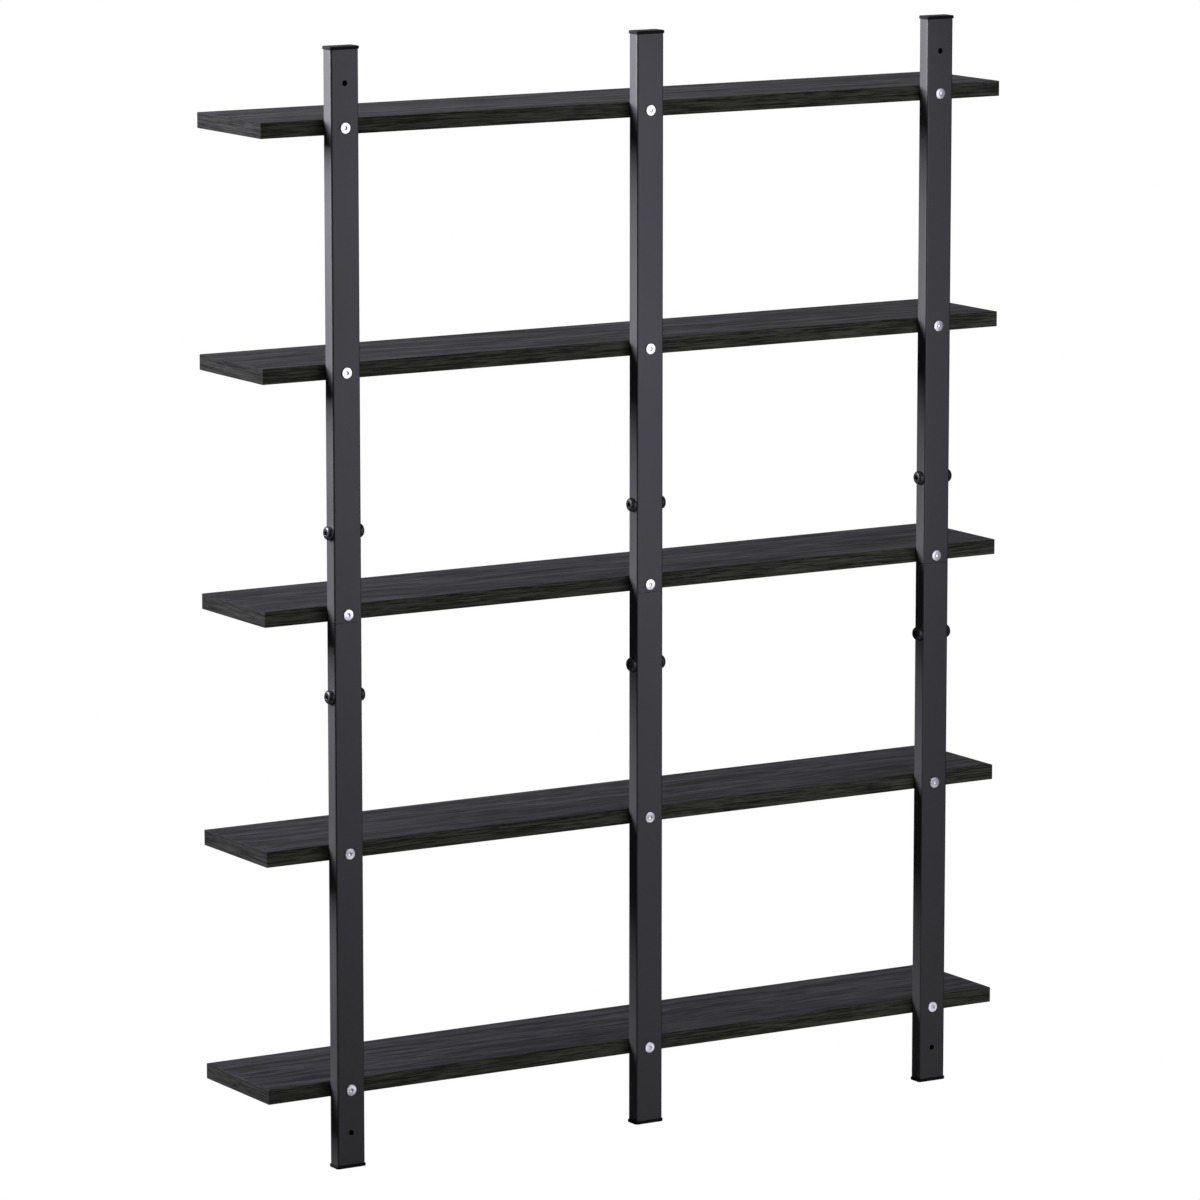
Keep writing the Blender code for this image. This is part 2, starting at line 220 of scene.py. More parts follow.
def smooth(piece):
    """Shade the roundings smooth and the broad faces flat."""
    hold(piece)
    bpy.ops.object.shade_smooth_by_angle(angle=SMOOTH_BELOW)
    step = piece.modifiers.new("broad faces flat", "WEIGHTED_NORMAL")
    step.keep_sharp = True
    bpy.ops.object.modifier_apply(modifier=step.name)


def seat(piece, node, *finishes):
    """Dress a piece, put it on the body and let it stand for its node."""
    for finish in finishes:
        piece.data.materials.append(finish)
    piece.data.name = piece.name
    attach(piece, BODY)
    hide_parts(node)


def seat_copy(pattern, name, node, turned, place, finish):
    """Seat a turned copy of a pattern, with a mesh of its own, at its place."""
    made = bpy.data.objects.new(name, pattern.data.copy())
    bpy.context.scene.collection.objects.link(made)
    made.data.transform(Matrix.Translation(place) @ turned)
    seat(made, node, finish)


print("helpers ready: smooth, seat, seat_copy")

# %% [markdown]
# ## Shader maths in plain Python
#
# A finish is a small sum: so much grain, minus so many pores. The class below wraps a node's output, so
# that such sums can be written as ordinary Python and each one adds its Math node. The bench lays out
# the nodes.

# %% A bench for node trees
class Wire:
    """An output socket that works in Python sums."""

    def __init__(self, bench, socket):
        self.bench = bench
        self.socket = socket

    def sum_of(self, operation, first, second):
        return self.bench.node("ShaderNodeMath", {"operation": operation}, {0: first, 1: second})

    def __add__(self, other):
        return self.sum_of("ADD", self, other)

    def __radd__(self, other):
        return self.sum_of("ADD", other, self)

    def __sub__(self, other):
        return self.sum_of("SUBTRACT", self, other)

    def __rsub__(self, other):
        return self.sum_of("SUBTRACT", other, self)

    def __mul__(self, other):
        return self.sum_of("MULTIPLY", self, other)

    def __rmul__(self, other):
        return self.sum_of("MULTIPLY", other, self)


class Bench:
    """A node tree that is being laid out."""

    def __init__(self, tree):
        self.tree = tree
        tree.nodes.clear()

    def node(self, kind, settings=None, sockets=None, out=0):
        """Add a node, set it up, feed its sockets with values or wires, and return one output."""
        made = self.tree.nodes.new(kind)
        for name, value in (settings or {}).items():
            setattr(made, name, value)
        for key, value in (sockets or {}).items():
            if isinstance(value, Wire):
                self.tree.links.new(value.socket, made.inputs[key])
            else:
                made.inputs[key].default_value = value
        return Wire(self, made.outputs[out]) if len(made.outputs) else None

    def tint(self, share, first, second):
        """Blend two colours."""
        return self.node("ShaderNodeMix", {"data_type": "RGBA"}, {0: share, 6: first, 7: second}, out=2)

    def between(self, value, low, high):
        """0 below low, 1 above high and a smooth ramp between them."""
        sockets = {"Value": value, "From Min": low, "From Max": high}
        return self.node("ShaderNodeMapRange", {"interpolation_type": "SMOOTHSTEP"}, sockets)

    def cloud(self, place, stretch, detail=2.0, roughness=0.5):
        """Noise on a place whose three axes are counted in waves for each metre."""
        spread = self.node("ShaderNodeVectorMath", {"operation": "MULTIPLY"}, {0: place, 1: stretch})
        sockets = {"Vector": spread, "Scale": 1.0, "Detail": detail, "Roughness": roughness}
        return self.node("ShaderNodeTexNoise", None, sockets)

    def bump(self, height, depth, strength=1.0):
        """A normal for a height from 0 to 1 that stands for a depth in metres."""
        sockets = {"Strength": strength, "Distance": depth, "Height": height}
        return self.node("ShaderNodeBump", None, sockets)


def new_finish(name):
    """A fresh material, its bench and the object coordinates that its pattern reads."""
    material = bpy.data.materials.new(name)
    material.use_nodes = True
    bench = Bench(material.node_tree)
    return material, bench, bench.node("ShaderNodeTexCoord", out="Object")


def complete(bench, sockets):
    """End a finish with the surface shader and the output."""
    surface = bench.node("ShaderNodeBsdfPrincipled", None, sockets)
    bench.node("ShaderNodeOutputMaterial", None, {"Surface": surface})


def dark(level, cast):
    """A near-black colour: a grey level with its material's faint cast of red, green and blue."""
    return (level * cast[0], level * cast[1], level * cast[2], 1.0)


print("bench ready")

# %% [markdown]
# ## Powder coat
#
# The posts wear a black powder coat with a satin sheen. Baked powder flows out into a faint orange peel
# about a millimetre across, and its gloss drifts a little from place to place. A picture of painted
# steel could be wrapped round the tube, but it would show a seam. Noise has none: two fine clouds bend
# the surface, and a broad one, with the finest, moves colour and roughness.

# %% The posts' finish
COLD_CAST = (0.97, 0.97, 1.08)


def powder_coat():
    material, bench, place = new_finish("powder_coat")
    peel = bench.cloud(place, (700.0, 700.0, 700.0), detail=1.0)
    speckle = bench.cloud(place, (2600.0, 2600.0, 2600.0), detail=1.0)
    drift = bench.cloud(place, (18.0, 18.0, 6.0), detail=3.0)
    shade = 0.6 * drift + 0.4 * speckle
    complete(bench, {
        "Base Color": bench.tint(shade, dark(0.007, COLD_CAST), dark(0.012, COLD_CAST)),
        "Roughness": 0.44 + 0.10 * drift + 0.04 * speckle,
        "Specular IOR Level": 0.82,
        "Normal": bench.bump(0.7 * peel + 0.3 * speckle, 0.04 * MM, 0.35),
    })
    return material


POWDER_COAT = powder_coat()
print("finish:", POWDER_COAT.name)

# %% [markdown]
# ## The posts
#
# Each post length is a welded rectangular tube, 30 by 15 mm, with small rounded corners and an open
# end. A block gets its four upright edges bevelled, its ends inset by the wall and opened, and the two
# inner loops bridged into the bore. Four plates would be quicker, but they would not make one closed
# skin.

# %% Sizes of the posts, read from the frame
POSTS = ("left", "centre", "right")
PARTS = ("upper", "lower")
ROWS = range(1, 6)
POST_WALL = 1.2 * MM
POST_CORNER = 2.0 * MM
POST_CORNER_STEPS = 6
POST_RIM = 0.25 * MM
POST_RIM_STEPS = 2
WALL_HOLE_RADIUS = 2.5 * MM
WALL_HOLE_FROM_END = 31.2 * MM
WALL_HOLE_LIP = 0.35 * MM
FASTENER_HOLE_LIP = 0.2 * MM
FASTENER_CLEARANCE = 0.3 * MM
SCREW_SHANK_RADIUS = 3.2 * MM
BOLT_SHANK_RADIUS = 3.0 * MM


def middle(node):
    """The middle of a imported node's box."""
    low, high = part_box(node)
    return (low + high) / 2


BOARD_HEIGHT = {row: middle(f"shelf_board_{row}").z for row in ROWS}
BOLT_HEIGHT = {part: middle(f"joiner_bolt_centre_{part}_left_side").z for part in PARTS}
POST_LOW, POST_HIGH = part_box("upper_post_left")
POST_WIDTH = POST_HIGH.x - POST_LOW.x
POST_DEPTH = POST_HIGH.y - POST_LOW.y
POST_BACK = POST_HIGH.y
print(f"posts {POST_WIDTH:.4f} by {POST_DEPTH:.4f} m")
print("boards at", [round(z, 4) for z in BOARD_HEIGHT.values()])

# %% The tube
def add_tube(name, low, high):
    """One length of rectangular tube between two corners."""
    axis = (low + high) / 2
    tube = add_block(name, low, high)
    open_up(tube)
    pick(tube, "EDGE", lambda edge: abs(edge.verts[0].co.z - edge.verts[1].co.z) > POST_WIDTH)
    bpy.ops.mesh.bevel(offset=POST_CORNER, segments=POST_CORNER_STEPS, affect="EDGES")
    pick(tube, "FACE", lambda face: abs(face.normal.z) > FACING)
    bpy.ops.mesh.inset(thickness=POST_WALL, depth=0.0, use_individual=True)
    bpy.ops.mesh.delete(type="FACE")
    pick(tube, "EDGE", lambda edge: edge.is_boundary)
    bpy.ops.mesh.bridge_edge_loops()
    bpy.ops.mesh.select_all(action="SELECT")
    bpy.ops.mesh.normals_make_consistent(inside=False)

    def is_outer_rim(edge):
        rims = [face for face in edge.link_faces if abs(face.normal.z) > FACING]
        sides = [face for face in edge.link_faces if abs(face.normal.z) < SIDEWAYS]
        if len(rims) != 1 or len(sides) != 1:
            return False
        outwards = (edge.verts[0].co + edge.verts[1].co) / 2 - axis
        return sides[0].normal.x * outwards.x + sides[0].normal.y * outwards.y > 0

    pick(tube, "EDGE", is_outer_rim)
    bpy.ops.mesh.bevel(offset=POST_RIM, segments=POST_RIM_STEPS, affect="EDGES")
    close_up()
    return tube


def add_post(part, post):
    """A post length, drilled front to back for shelf screws and wall screw, and across for side bolts."""
    node = f"{part}_post_{post}"
    low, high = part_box(node)
    x, y = (low.x + high.x) / 2, (low.y + high.y) / 2
    tube = add_tube(f"post_tube_{part}_{post}", low, high)
    screw_radius = SCREW_SHANK_RADIUS + FASTENER_CLEARANCE
    for height in BOARD_HEIGHT.values():
        if low.z < height < high.z:
            drill(tube, (x, y, height), (0, 1, 0), screw_radius, POST_DEPTH, FASTENER_HOLE_LIP)
    bolt_radius = BOLT_SHANK_RADIUS + FASTENER_CLEARANCE
    drill(tube, (x, y, BOLT_HEIGHT[part]), (1, 0, 0), bolt_radius, POST_WIDTH, FASTENER_HOLE_LIP)
    if post != "centre":
        wall_hole = {"upper": high.z - WALL_HOLE_FROM_END, "lower": low.z + WALL_HOLE_FROM_END}[part]
        drill(tube, (x, y, wall_hole), (0, 1, 0), WALL_HOLE_RADIUS, POST_DEPTH, WALL_HOLE_LIP)
    smooth(tube)
    seat(tube, node, POWDER_COAT)
    return tube


for part in PARTS:
    for post in POSTS:
        made = add_post(part, post)
        print(made.name, len(made.data.polygons), "faces")

# %% [markdown]
# ## Dark oak
#
# The boards are covered with a black oak decor. Its broad faces show long, calm streaks along the board
# and fine open pores, and they look a little blue: their cool grey base is partly the decor's own tone
# and partly painted blue reflection of the room. The edge band is another roll of the same decor: wavy
# streaks one or two millimetres tall, much stronger and olive. The short ends take a darker, grey copy
# of it, painted light for the key lamp shining on them and a grey sheen. Noise that is stretched along
# the board gives all three, and a slow second noise makes the streaks sway. Each board lies at its own
# height, so no two match.

# %% The boards' finishes
# Cool grey of the face decor: partly its own tone, partly painted blue reflection of the room.
SLATE_AND_REFLECTION_CAST = (0.95, 0.95, 1.26)
OLIVE_CAST = (0.94, 1.00, 0.72)
# Neutral grey of the short ends: painted sheen over the olive band.
END_SHEEN_CAST = (1.00, 1.00, 0.95)


def swaying(bench, place, stretch, axis, reach):
    """Coordinates that wander along one axis, so that streaks drawn on them wave."""
    sway = bench.cloud(place, stretch, detail=2.0)
    lean = bench.node("ShaderNodeCombineXYZ", None, {axis: reach * sway})
    return bench.node("ShaderNodeVectorMath", {"operation": "ADD"}, {0: place, 1: lean})


def oak_face():
    material, bench, place = new_finish("oak_face")
    grain = swaying(bench, place, (5.0, 8.0, 9.0), "Y", 0.024)
    bands = bench.cloud(grain, (5.0, 90.0, 9.0), detail=3.0, roughness=0.65)
    fibres = bench.cloud(grain, (24.0, 420.0, 40.0), detail=2.0, roughness=0.6)
    pores = bench.between(bench.cloud(grain, (60.0, 1500.0, 60.0), detail=1.0), 0.60, 0.70)
    light = bench.between(0.55 * bands + 0.45 * fibres, 0.37, 0.63)
    wood = bench.tint(light, dark(0.002, SLATE_AND_REFLECTION_CAST), dark(0.013, SLATE_AND_REFLECTION_CAST))
    complete(bench, {
        "Base Color": bench.tint(0.6 * pores, wood, dark(0.003, SLATE_AND_REFLECTION_CAST)),
        "Roughness": 0.68 - 0.16 * light + 0.08 * pores,
        "Specular IOR Level": 0.08,
        "Normal": bench.bump(fibres - 0.6 * pores, 0.08 * MM, 0.4),
    })
    return material


def oak_band(name, cast, darkest, lightest):
    """The narrow roll of decor on the edges, with fine streaks along the board."""
    material, bench, place = new_finish(name)
    grain = swaying(bench, place, (24.0, 24.0, 24.0), "Z", 0.0018)
    bands = bench.cloud(grain, (20.0, 20.0, 900.0), detail=1.5, roughness=0.5)
    fibres = bench.cloud(grain, (65.0, 65.0, 1500.0), detail=2.0, roughness=0.6)
    light = bench.between(0.55 * bands + 0.45 * fibres, 0.38, 0.62)
    complete(bench, {
        "Base Color": bench.tint(light, dark(darkest, cast), dark(lightest, cast)),
        "Roughness": 0.58 + 0.12 * fibres,
        "Specular IOR Level": 0.03,
        "Normal": bench.bump(0.6 * bands + 0.4 * fibres, 0.10 * MM, 0.4),
    })
    return material


OAK_FACE = oak_face()
OAK_EDGE = oak_band("oak_edge", OLIVE_CAST, 0.013, 0.064)
# The short ends: the edge band painted darker for the key lamp on them, and grey for a sheen.
OAK_END_PAINTED_LIGHT = oak_band("oak_end_painted_light", END_SHEEN_CAST, 0.006, 0.020)
print("finishes:", OAK_FACE.name, OAK_EDGE.name, OAK_END_PAINTED_LIGHT.name)

# %% [markdown]
# ## The boards
#
# A board is a plain block, so all its character lies in its edges: they are eased by half a millimetre,
# which catches a thin line of light. Three pilot holes in the wall edge take the screws. The faces that
# point up and down take the face decor, the long edges the olive band and the short ends its darker grey
# copy with painted light.

# %% Five boards
BOARD_EASE = 0.5 * MM
BOARD_EASE_STEPS = 3
TOUCH = 0.02 * MM
DECORS = (OAK_FACE, OAK_EDGE, OAK_END_PAINTED_LIGHT)
# A face that looks along X is a short end, along Y a long edge and along Z a broad face.
DECOR_ALONG_AXIS = (2, 1, 0)
PILOT_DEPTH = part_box("shelf_screw_left_1")[1].y + FASTENER_CLEARANCE - POST_BACK


def add_board(row):
    node = f"shelf_board_{row}"
    low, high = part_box(node)
    low.y = POST_BACK + TOUCH
    board = add_block(f"oak_board_{row}", low, high)
    open_up(board)
    bpy.ops.mesh.select_all(action="SELECT")
    bpy.ops.mesh.bevel(offset=BOARD_EASE, segments=BOARD_EASE_STEPS, affect="EDGES")
    close_up()
    radius = SCREW_SHANK_RADIUS + FASTENER_CLEARANCE
    mouth = -CUT_CLEAR
    pilot = [(0.0, PILOT_DEPTH), (radius, PILOT_DEPTH), (radius, mouth), (0.0, mouth)]
    for post in POSTS:
        bit = turn("bit", pilot, HOLE_SIDES)
        lay_along(bit, (0, 1, 0), (middle(f"upper_post_{post}").x, low.y, BOARD_HEIGHT[row]))
        combine(board, bit, "DIFFERENCE")
    smooth(board)
    seat(board, node, *DECORS)
    for face in board.data.polygons:
        steepest = max(range(3), key=lambda axis: abs(face.normal[axis]))
        face.material_index = DECOR_ALONG_AXIS[steepest]
    return board


for row in ROWS:
    made = add_board(row)
    print(made.name, len(made.data.polygons), "faces")

# %% [markdown]
# ## End caps
#
# A black plastic cap closes each open tube end. Its flange stands a millimetre proud all round with
# softly rounded edges. Below it a hollow plug with three ribs grips the inside of the tube. The flange
# is a bevelled block, and the plug grows out of its underside by extruding and widening the face for
# each rib.

# %% The caps' finish
def cap_plastic():
    material, bench, place = new_finish("moulded_black")
    erosion = bench.cloud(place, (1400.0, 1400.0, 1400.0), detail=2.0)
    drift = bench.cloud(place, (60.0, 60.0, 60.0), detail=2.0)
    complete(bench, {
        "Base Color": bench.tint(drift, dark(0.004, COLD_CAST), dark(0.007, COLD_CAST)),
        "Roughness": 0.56 + 0.10 * erosion + 0.06 * drift,
        "Specular IOR Level": 0.12,
        "Normal": bench.bump(erosion, 0.03 * MM, 0.4),
    })
    return material


CAP_PLASTIC = cap_plastic()
print("finish:", CAP_PLASTIC.name)

# %% Six caps
CAP_FLANGE = 3.0 * MM
CAP_CORNER = 2.8 * MM
CAP_OVERHANG = 1.0 * MM
CAP_TOP_EASE = 0.9 * MM
CAP_TOP_STEPS = 4
CAP_SKIRT_EASE = 0.3 * MM
CAP_SKIRT_STEPS = 2
CAP_RIBS = 3
CAP_RIB_RISE = 0.8 * MM
CAP_RIB_TALL = 1.4 * MM
CAP_PLUG_WALL = 1.8 * MM
CAP_PLUG_INSET = CAP_OVERHANG + POST_WALL + FASTENER_CLEARANCE + CAP_RIB_RISE


def add_cap_pattern():
    """One cap with its flange up, on the origin, where the end of the tube meets the flange."""
    low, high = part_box("top_cap_left")
    half = (high - low) / 2
    plug_length = high.z - low.z - CAP_FLANGE
    cap = add_block("cap_pattern", Vector((-half.x, -half.y, 0.0)), Vector((half.x, half.y, CAP_FLANGE)))
    open_up(cap)
    pick(cap, "EDGE", lambda edge: abs(edge.verts[0].co.z - edge.verts[1].co.z) > CAP_FLANGE / 2)
    bpy.ops.mesh.bevel(offset=CAP_CORNER, segments=POST_CORNER_STEPS, affect="EDGES")
    pick(cap, "EDGE", lambda edge: min(vert.co.z for vert in edge.verts) > CAP_FLANGE - WELD)
    bpy.ops.mesh.bevel(offset=CAP_TOP_EASE, segments=CAP_TOP_STEPS, affect="EDGES")
    pick(cap, "EDGE", lambda edge: max(vert.co.z for vert in edge.verts) < WELD)
    bpy.ops.mesh.bevel(offset=CAP_SKIRT_EASE, segments=CAP_SKIRT_STEPS, affect="EDGES")
    pick(cap, "FACE", lambda face: face.normal.z < -FACING)
    grow_plug(half - Vector((CAP_SKIRT_EASE, CAP_SKIRT_EASE, 0.0)), half, plug_length)
    close_up()
    smooth(cap)
    return cap


def grow_plug(under, half, length):
    """Extrude the selected underside into a ribbed plug and sink a pocket into its end."""
    plug = half - Vector((CAP_PLUG_INSET, CAP_PLUG_INSET, 0.0))
    rib = plug + Vector((CAP_RIB_RISE, CAP_RIB_RISE, 0.0))
    pocket = plug - Vector((CAP_PLUG_WALL, CAP_PLUG_WALL, 0.0))
    gap = (length - CAP_RIBS * CAP_RIB_TALL) / (CAP_RIBS + 1)

    def draw_down(distance):
        bpy.ops.mesh.extrude_region_move(TRANSFORM_OT_translate={"value": (0.0, 0.0, -distance)})

    def step_to(start, end):
        bpy.ops.mesh.extrude_region_move()
        scale = (end.x / start.x, end.y / start.y, 1.0)
        bpy.ops.transform.resize(value=scale, center_override=(0.0, 0.0, 0.0))

    step_to(under, plug)
    for rib_number in range(CAP_RIBS):
        draw_down(gap)
        step_to(plug, rib)
        draw_down(CAP_RIB_TALL)
        step_to(rib, plug)
    draw_down(gap)
    step_to(plug, pocket)
    draw_down(-(length - CAP_PLUG_WALL))


cap_pattern = add_cap_pattern()
SEAT_GAP = 0.1 * MM
UPSIDE_DOWN = Matrix.Rotation(math.pi, 4, "X")
for end, turned_over in (("top", Matrix.Identity(4)), ("bottom", UPSIDE_DOWN)):
    for post in POSTS:
        node = f"{end}_cap_{post}"
        tube_low, tube_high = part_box({"top": "upper", "bottom": "lower"}[end] + f"_post_{post}")
        stop = tube_high.z + SEAT_GAP if end == "top" else tube_low.z - SEAT_GAP
        place = Vector((middle(node).x, middle(node).y, stop))
        seat_copy(cap_pattern, f"end_cap_{end}_{post}", node, turned_over, place, CAP_PLASTIC)
print("caps:", len(cap_pattern.data.polygons), "faces each")
bpy.data.objects.remove(cap_pattern)

# %% [markdown]
# ## Fastener finishes
#
# Two kinds hold the shelf together: bright zinc-plated screws and black oxide bolts. Zinc plate is
# almost a mirror with a faint bloom and fine scratches. A pure metal looks black where the room is
# dark, so a share of the finish is matt and stands for the thin passive layer on a real screw. Black
# oxide is a dull, oily film with a soft sheen.

# %% The fasteners' finishes
def zinc_plate():
    material, bench, place = new_finish("zinc_plate")
    bloom = bench.cloud(place, (260.0, 260.0, 260.0), detail=3.0)
    scratches = bench.cloud(place, (300.0, 900.0, 3000.0), detail=2.0)
    complete(bench, {
        "Base Color": bench.tint(bloom, (0.88, 0.88, 0.92, 1.0), (0.95, 0.95, 0.98, 1.0)),
        "Roughness": 0.20 + 0.06 * bloom + 0.04 * scratches,
        "Metallic": 0.7,
        "Normal": bench.bump(scratches, 0.02 * MM, 0.25),
    })
    return material


def black_oxide():
    material, bench, place = new_finish("black_oxide")
    bloom = bench.cloud(place, (320.0, 320.0, 320.0), detail=3.0)
    complete(bench, {
        "Base Color": bench.tint(bloom, dark(0.004, COLD_CAST), dark(0.010, COLD_CAST)),
        "Roughness": 0.36 + 0.14 * bloom,
        "Specular IOR Level": 0.55,
        "Normal": bench.bump(bloom, 0.02 * MM, 0.25),
    })
    return material


ZINC = zinc_plate()
BLACK_OXIDE = black_oxide()
print("finishes:", ZINC.name, "and", BLACK_OXIDE.name)

# %% [markdown]
# ## Heads and sockets
#
# Both heads are rounded in outline and have a hex socket for a key. The rounding is an arc of points in
# the half outline. A six-sided punch sinks the socket, and a cone gives it the round lead-in that a
# forging die leaves. Insetting faces of the head would be shorter, but a fan of triangles has no
# six-sided face to inset.

# %% Arcs and sockets
ROUND_SIDES = 48
ARC_STEPS = 6
HEX_SIDES = 6
SOCKET_LEAD = 0.2 * MM
SOCKET_LEAD_DEPTH = 0.4 * MM
SOCKET_FLOOR_FALL = 1 / 3


def arc(centre, reach, start, end):
    """Points of an elliptic arc, angles in degrees from the radius axis."""
    points = []
    for step in range(ARC_STEPS + 1):
        angle = math.radians(start + (end - start) * step / ARC_STEPS)
        points.append((centre[0] + reach[0] * math.cos(angle), centre[1] + reach[1] * math.sin(angle)))
    return points


def punch_socket(piece, top, flats, depth):
    """Sink a hex socket with a conical floor and a round lead-in into a head with its top there."""
    corner = flats / 2 / math.cos(math.pi / HEX_SIDES)
    over = top + CUT_CLEAR
    floor = top - depth
    hexagon = [(0.0, over), (corner, over), (corner, floor), (0.0, floor - SOCKET_FLOOR_FALL * corner)]
    combine(piece, turn("punch", hexagon, HEX_SIDES), "DIFFERENCE")
    ledge = top - SOCKET_LEAD_DEPTH
    foot = corner - SOCKET_LEAD
    mouth = foot + SOCKET_LEAD_DEPTH + CUT_CLEAR
    cone = [(0.0, over), (mouth, over), (foot, ledge), (0.0, ledge)]
    combine(piece, turn("countersink", cone, HOLE_SIDES), "DIFFERENCE")


print("arc and punch_socket ready")

# %% [markdown]
# ## Threads
#
# A thread is a ridge that climbs round a core. The ridge starts as a flat plate that is narrowed
# towards its crest, loses its face, and is wound up by a Screw modifier. Its two open ends are filled,
# so that it is a closed body, and a union welds it to the core. A bump would be quicker, but it leaves
# no thread in the mesh.

# %% A wound ridge
THREAD_SIDES = 24
THREAD_SINK = 0.3 * MM
THREAD_ROOT_SHARE = 0.8
THREAD_CREST_SHARE = 0.2


def wind_thread(piece, core, crest, pitch, low, turns):
    """Wind a ridge upwards from a low height round a core and weld it on."""
    root = core - THREAD_SINK
    bpy.ops.object.select_all(action="DESELECT")
    bpy.ops.mesh.primitive_plane_add(size=1.0, rotation=(math.pi / 2, 0.0, 0.0))
    ridge = bpy.context.active_object
    ridge.name = "ridge"
    ridge.location = ((root + crest) / 2, 0.0, low)
    ridge.scale = (crest - root, THREAD_ROOT_SHARE * pitch, 1.0)
    bpy.ops.object.transform_apply(location=True, rotation=True, scale=True)
    open_up(ridge)
    pick(ridge, "VERT", lambda vert: vert.co.x > core)
    narrow = (1.0, 1.0, THREAD_CREST_SHARE / THREAD_ROOT_SHARE)
    bpy.ops.transform.resize(value=narrow, center_override=(0.0, 0.0, low))
    bpy.ops.mesh.select_all(action="SELECT")
    bpy.ops.mesh.delete(type="ONLY_FACE")
    bpy.ops.object.mode_set(mode="OBJECT")
    climb = ridge.modifiers.new("climb", "SCREW")
    climb.screw_offset = pitch
    climb.iterations = turns
    climb.steps = THREAD_SIDES
    climb.render_steps = THREAD_SIDES
    bpy.ops.object.modifier_apply(modifier=climb.name)
    open_up(ridge)
    half_way = low + turns * pitch / 2

    def is_low(edge):
        return edge.verts[0].co.z < half_way

    for at_foot in (True, False):
        pick(ridge, "EDGE", lambda edge: edge.is_boundary and is_low(edge) == at_foot)
        bpy.ops.mesh.edge_face_add()
    close_up()
    combine(piece, ridge, "UNION")


print("wind_thread ready")

# %% [markdown]
# ## Shelf screws
#
# A shelf screw has a low, slightly crowned head, a plain neck inside the post and a coarse wood thread
# in the board. The head could be a bevelled disc, but its crown and soft rim are what catch the light,
# so the whole outline is turned in one go. Each copy is turned on by the golden angle, because no two
# real screws stop at the same angle.

# %% Fifteen shelf screws
SCREW_RIM_ROUND = 0.45 * MM
SCREW_RIM_START = 75
SCREW_CROWN = 0.15 * MM
SCREW_FLAT_REACH = 0.45
SCREW_FLAT_FALL = 0.1
SCREW_SOCKET_FLATS = 3.2 * MM
SCREW_SOCKET_DEPTH = 1.0 * MM
SCREW_POINT = 5.0 * MM
SCREW_CORE_RADIUS = 2.3 * MM
SCREW_PITCH = 2.5 * MM
SCREW_NECK = 1.5 * MM


def add_screw_pattern():
    """A screw with its head towards +Z and its seat at height 0."""
    low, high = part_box("shelf_screw_left_1")
    head = (high.x - low.x) / 2
    rise = -low.y
    shank = SCREW_SHANK_RADIUS
    point = -high.y
    shoulder = rise - SCREW_CROWN
    flat = (SCREW_FLAT_REACH * head, rise - SCREW_FLAT_FALL * SCREW_CROWN)
    bend = SCREW_RIM_ROUND
    crown = [(0.0, rise), flat, (head - bend, shoulder)]
    rim = arc((head - bend, shoulder - bend), (bend, bend), SCREW_RIM_START, 0)
    core = SCREW_CORE_RADIUS
    collar = [(head, TOUCH), (shank, TOUCH), (shank, -POST_BACK), (core, -POST_BACK - SCREW_NECK)]
    tip = [(core, point + SCREW_POINT), (0.0, point)]
    screw = turn("screw_pattern", crown + rim + collar + tip, ROUND_SIDES)
    punch_socket(screw, rise, SCREW_SOCKET_FLATS, SCREW_SOCKET_DEPTH)
    thread_foot = point + SCREW_POINT + SCREW_PITCH / 2
    turns = int((-POST_BACK - SCREW_NECK - thread_foot) / SCREW_PITCH)
    wind_thread(screw, core, shank, SCREW_PITCH, thread_foot, turns)
    smooth(screw)
    return screw


GOLDEN_TURN = math.radians(137.5)
TO_WALL = pointing((0, -1, 0)).to_matrix().to_4x4()
screw_pattern = add_screw_pattern()
for column, post in enumerate(POSTS):
    for row in ROWS:
        node = f"shelf_screw_{post}_{row}"
        twist = Matrix.Rotation((len(ROWS) * column + row) * GOLDEN_TURN, 4, "Z")
        place = Vector((middle(node).x, 0.0, middle(node).z))
        seat_copy(screw_pattern, f"zinc_screw_{post}_{row}", node, TO_WALL @ twist, place, ZINC)
print("screws:", len(screw_pattern.data.polygons), "faces each")
bpy.data.objects.remove(screw_pattern)

# %% [markdown]
# ## Side bolts
#
# Four button-head bolts clamp the two lengths of each post to the joiner inside, two on each narrow
# side. The dome is a quarter of an ellipse over a short upright rim. A machine thread is finer than a
# wood thread, so the same ridge is wound with a smaller pitch.

# %% Twelve side bolts
BOLT_FLAT_RADIUS = 4.2 * MM
BOLT_RIM = 0.8 * MM
BOLT_SOCKET_FLATS = 4.0 * MM
BOLT_SOCKET_DEPTH = 2.4 * MM
BOLT_CORE_RADIUS = 2.45 * MM
BOLT_PITCH = 1.0 * MM
BOLT_NECK = 1.2 * MM
BOLTS_ON_A_POST = 4


def add_bolt_pattern():
    """A button-head bolt with its head towards +Z and its seat at height 0."""
    low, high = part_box("joiner_bolt_left_upper_left_side")
    post_side = POST_LOW.x
    head = (high.z - low.z) / 2
    rise = post_side - low.x
    end = post_side - high.x
    dome = arc((BOLT_FLAT_RADIUS, BOLT_RIM), (head - BOLT_FLAT_RADIUS, rise - BOLT_RIM), 90, 0)
    core = BOLT_CORE_RADIUS
    shank = BOLT_SHANK_RADIUS
    under = [(head, TOUCH), (shank, TOUCH), (shank, -BOLT_NECK / 2), (core, -BOLT_NECK)]
    foot = [(core, end + BOLT_NECK / 2), (core - BOLT_NECK / 2, end), (0.0, end)]
    bolt = turn("bolt_pattern", [(0.0, rise)] + dome + under + foot, ROUND_SIDES)
    punch_socket(bolt, rise, BOLT_SOCKET_FLATS, BOLT_SOCKET_DEPTH)
    thread_foot = end + BOLT_NECK / 2 + BOLT_PITCH / 2
    turns = int((-BOLT_NECK - thread_foot) / BOLT_PITCH)
    wind_thread(bolt, core, shank, BOLT_PITCH, thread_foot, turns)
    smooth(bolt)
    return bolt


